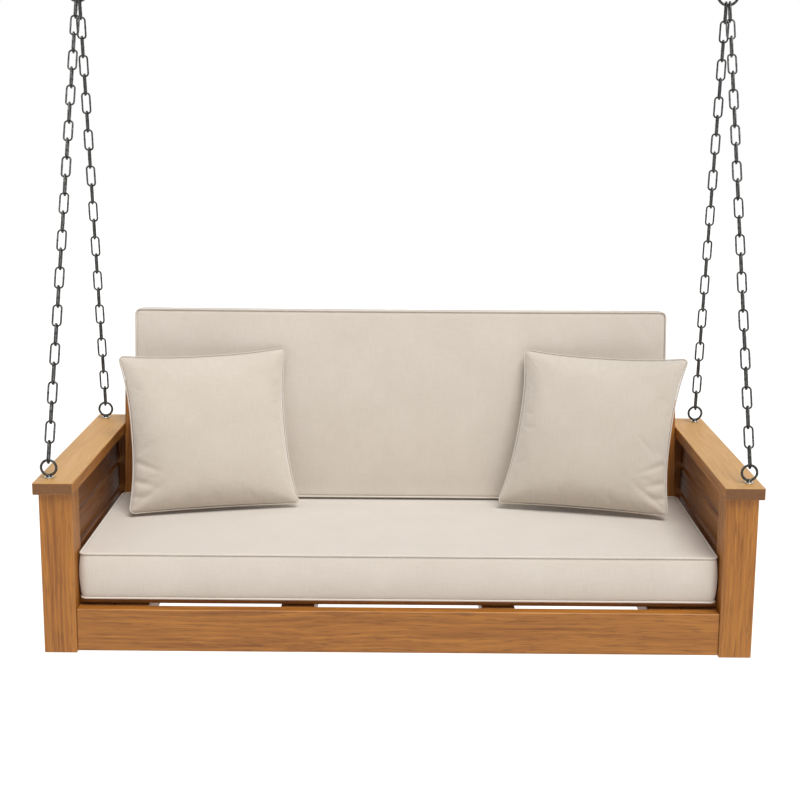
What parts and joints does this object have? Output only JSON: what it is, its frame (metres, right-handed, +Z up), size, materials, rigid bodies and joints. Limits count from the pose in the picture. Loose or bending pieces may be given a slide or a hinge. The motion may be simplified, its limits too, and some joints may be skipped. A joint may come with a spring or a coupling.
{
  "type": "porch swing",
  "caption": "Slatted wooden porch swing with wide flat arms and a leaning back, loose seat and back cushions and scatter pillows, hung on chains from ceiling hooks.",
  "frame": {"origin": "middle of the line between the top faces of the two ceiling plates", "axes": "+Z up, +X to the right seen from the open front, the front faces -Y"},
  "size_m": [1.932, 0.882, 1.8577],
  "materials": {
    "teak": "oiled, satin, open grain",
    "canvas": "plain woven oatmeal canvas, matte",
    "dark_steel": "dark passivated steel wire, low sheen",
    "zinc_plate": "bright zinc"
  },
  "bodies": {
    "ceiling": {"ceiling_hook_left": "dark_steel", "ceiling_hook_right": "dark_steel", "ceiling_plate_left": "dark_steel", "ceiling_plate_right": "dark_steel"},
    "hanger_rings": {"hanging_ring_left": "dark_steel", "hanging_ring_right": "dark_steel"},
    "chains_left": {"chain_back_left": "dark_steel", "chain_front_left": "dark_steel"},
    "chains_right": {"chain_back_right": "dark_steel", "chain_front_right": "dark_steel"},
    "seat": {"arm_board_left": "teak", "arm_board_right": "teak", "arm_slat_lower_left": "teak", "arm_slat_lower_right": "teak", "arm_slat_middle_left": "teak", "arm_slat_middle_right": "teak", "arm_slat_upper_left": "teak", "arm_slat_upper_right": "teak", "back_middle_stile_left": "teak", "back_middle_stile_right": "teak", "back_post_left": "teak", "back_post_right": "teak", "back_rail": "teak", "back_slat_1": "teak", "back_slat_2": "teak", "back_slat_3": "teak", "back_slat_4": "teak", "back_slat_5": "teak", "back_stile_left": "teak", "back_stile_right": "teak", "end_bearer_left": "teak", "end_bearer_right": "teak", "eye_screw_back_left": "dark_steel", "eye_screw_back_right": "dark_steel", "eye_screw_front_left": "dark_steel", "eye_screw_front_right": "dark_steel", "front_post_left": "teak", "front_post_right": "teak", "front_rail": "teak", "seat_bearer_1": "teak", "seat_bearer_2": "teak", "seat_bearer_3": "teak", "seat_bearer_4": "teak", "seat_slat_1": "teak", "seat_slat_2": "teak", "seat_slat_3": "teak", "seat_slat_4": "teak", "seat_slat_5": "teak", "seat_slat_6": "teak", "seat_slat_7": "teak", "side_rail_left": "teak", "side_rail_right": "teak", "washer_back_left": "zinc_plate", "washer_back_right": "zinc_plate", "washer_front_left": "zinc_plate", "washer_front_right": "zinc_plate"},
    "seat_cushion": {"seat_cushion": "canvas"},
    "back_cushion": {"back_cushion": "canvas"},
    "pillow_left": {"pillow_left": "canvas"},
    "pillow_right": {"pillow_right": "canvas"}
  },
  "joints": [
    {"name": "swing", "type": "hinge", "parent": "ceiling", "child": "hanger_rings", "pos_m": [0, 0, -0.0612], "axis": [1, 0, 0], "range_deg": [-25, 25]},
    {"name": "sway_left_chains", "type": "hinge", "parent": "hanger_rings", "child": "chains_left", "pos_m": [-0.93, 0, -0.1121], "axis": [0, 1, 0], "range_deg": [-8, 8]},
    {"name": "sway_right_chains", "type": "hinge", "parent": "hanger_rings", "child": "chains_right", "pos_m": [0.93, 0, -0.1121], "axis": [0, 1, 0], "range_deg": [-8, 8]},
    {"name": "seat_stays_level", "type": "hinge", "parent": "chains_left", "child": "seat", "pos_m": [-0.93, -0.56519, -1.34193], "axis": [0, 1, 0], "range_deg": [-8, 8]},
    {"name": "lift_seat_cushion", "type": "slide", "parent": "seat", "child": "seat_cushion", "axis": [0, 0, 1], "range_m": [0, 0.15]},
    {"name": "lift_back_cushion", "type": "slide", "parent": "seat_cushion", "child": "back_cushion", "axis": [0, 0.1736, 0.9848], "range_m": [0, 0.15]},
    {"name": "lift_pillow_left", "type": "slide", "parent": "seat_cushion", "child": "pillow_left", "axis": [0, 0, 1], "range_m": [0, 0.15]},
    {"name": "lift_pillow_right", "type": "slide", "parent": "seat_cushion", "child": "pillow_right", "axis": [0, 0, 1], "range_m": [0, 0.15]}
  ],
  "couplings": [
    {"joint": "sway_right_chains", "follows": "sway_left_chains", "ratio": 1},
    {"joint": "seat_stays_level", "follows": "sway_left_chains", "ratio": -1}
  ]
}
